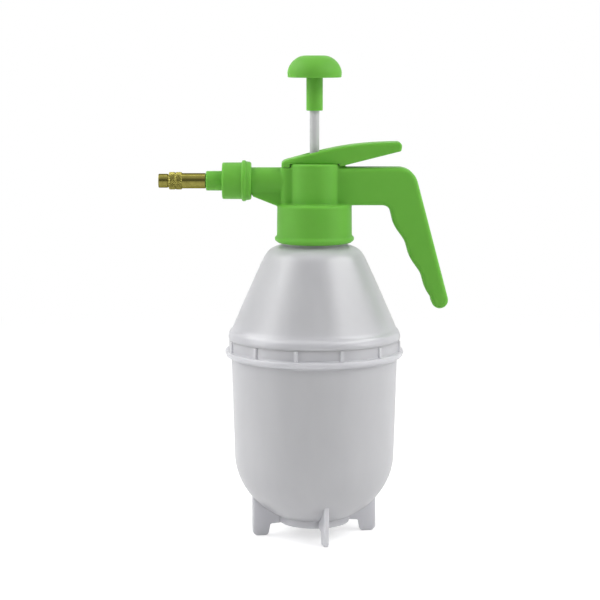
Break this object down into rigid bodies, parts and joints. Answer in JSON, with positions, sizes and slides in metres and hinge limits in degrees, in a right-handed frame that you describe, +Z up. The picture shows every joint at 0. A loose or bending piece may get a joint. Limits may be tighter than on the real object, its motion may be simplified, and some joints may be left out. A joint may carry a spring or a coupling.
{
  "type": "pump sprayer",
  "caption": "Hand pump pressure sprayer: conical milky tank on fins, green screw-on head with grip, trigger lever and plunger pump, and an adjustable brass nozzle.",
  "frame": {"origin": "on the standing plane under the middle of the overall box; the tank axis stands 8.1 mm off it towards +X", "axes": "+Z up along the tank axis, -X the way the nozzle points, +X the grip side"},
  "size_m": [0.2186, 0.1354, 0.3656],
  "materials": {
    "green_plastic": "satin moulded polypropylene, grass green",
    "tank_plastic": "milky translucent polypropylene, satin",
    "rod_plastic": "pale grey acetal, smooth",
    "natural_plastic": "unpigmented plastic, smooth",
    "brass": "turned yellow brass",
    "steel": "bright wire and pin steel",
    "rubber": "black seal rubber"
  },
  "bodies": {
    "tank": {"tank_lower_cup": "tank_plastic", "tank_upper_cone": "tank_plastic"},
    "neck_seal": {"neck_gasket": "rubber"},
    "head": {"head_body": "green_plastic", "pump_cylinder": "natural_plastic", "rod_guide": "natural_plastic", "check_valve_disc": "rubber", "check_valve_cage": "natural_plastic", "lever_pin": "steel", "valve_gland": "natural_plastic", "valve_spring": "steel", "dip_tube_connector": "natural_plastic", "dip_tube": "natural_plastic", "dip_strainer": "green_plastic", "nozzle_nut": "green_plastic", "nozzle_gasket": "rubber", "nozzle_adaptor": "green_plastic", "nozzle_stem": "brass"},
    "lever": {"trigger_lever": "green_plastic"},
    "valve": {"valve_stem": "natural_plastic", "valve_upper_o_ring": "rubber", "valve_lower_o_ring": "rubber"},
    "plunger": {"plunger_knob": "green_plastic", "plunger_rod": "rod_plastic", "piston": "natural_plastic", "piston_cup": "rubber"},
    "nozzle_seal": {"nozzle_o_ring": "rubber"},
    "nozzle_tip": {"nozzle_barrel": "brass"}
  },
  "joints": [
    {"name": "head_lift", "type": "slide", "parent": "tank", "child": "neck_seal", "axis": [0, 0, 1], "range_m": [0, 0.24]},
    {"name": "head_unscrew", "type": "hinge", "parent": "neck_seal", "child": "head", "pos_m": [0.00813, 0, 0.2433], "axis": [0, 0, 1], "range_deg": [0, 720]},
    {"name": "lever_press", "type": "hinge", "parent": "head", "child": "lever", "pos_m": [0.02763, 0, 0.286], "axis": [0, 1, 0], "range_deg": [0, 7], "stiffness_Nm_per_rad": 0.5, "springref_deg": -17.19},
    {"name": "valve_lift", "type": "slide", "parent": "head", "child": "valve", "axis": [0, 0, 1], "range_m": [0, 0.0048], "deforming": ["valve_spring"]},
    {"name": "pump_stroke", "type": "slide", "parent": "head", "child": "plunger", "axis": [0, 0, 1], "range_m": [-0.045, 0]},
    {"name": "nozzle_advance", "type": "slide", "parent": "head", "child": "nozzle_seal", "axis": [-1, 0, 0], "range_m": [0, 0.002]},
    {"name": "nozzle_turn", "type": "hinge", "parent": "nozzle_seal", "child": "nozzle_tip", "pos_m": [-0.07887, 0, 0.2719], "axis": [-1, 0, 0], "range_deg": [0, 720]}
  ],
  "couplings": [
    {"joint": "valve_lift", "follows": "lever_press", "m_per_rad": 0.0381},
    {"joint": "nozzle_turn", "follows": "nozzle_advance", "rad_per_m": 6283}
  ]
}
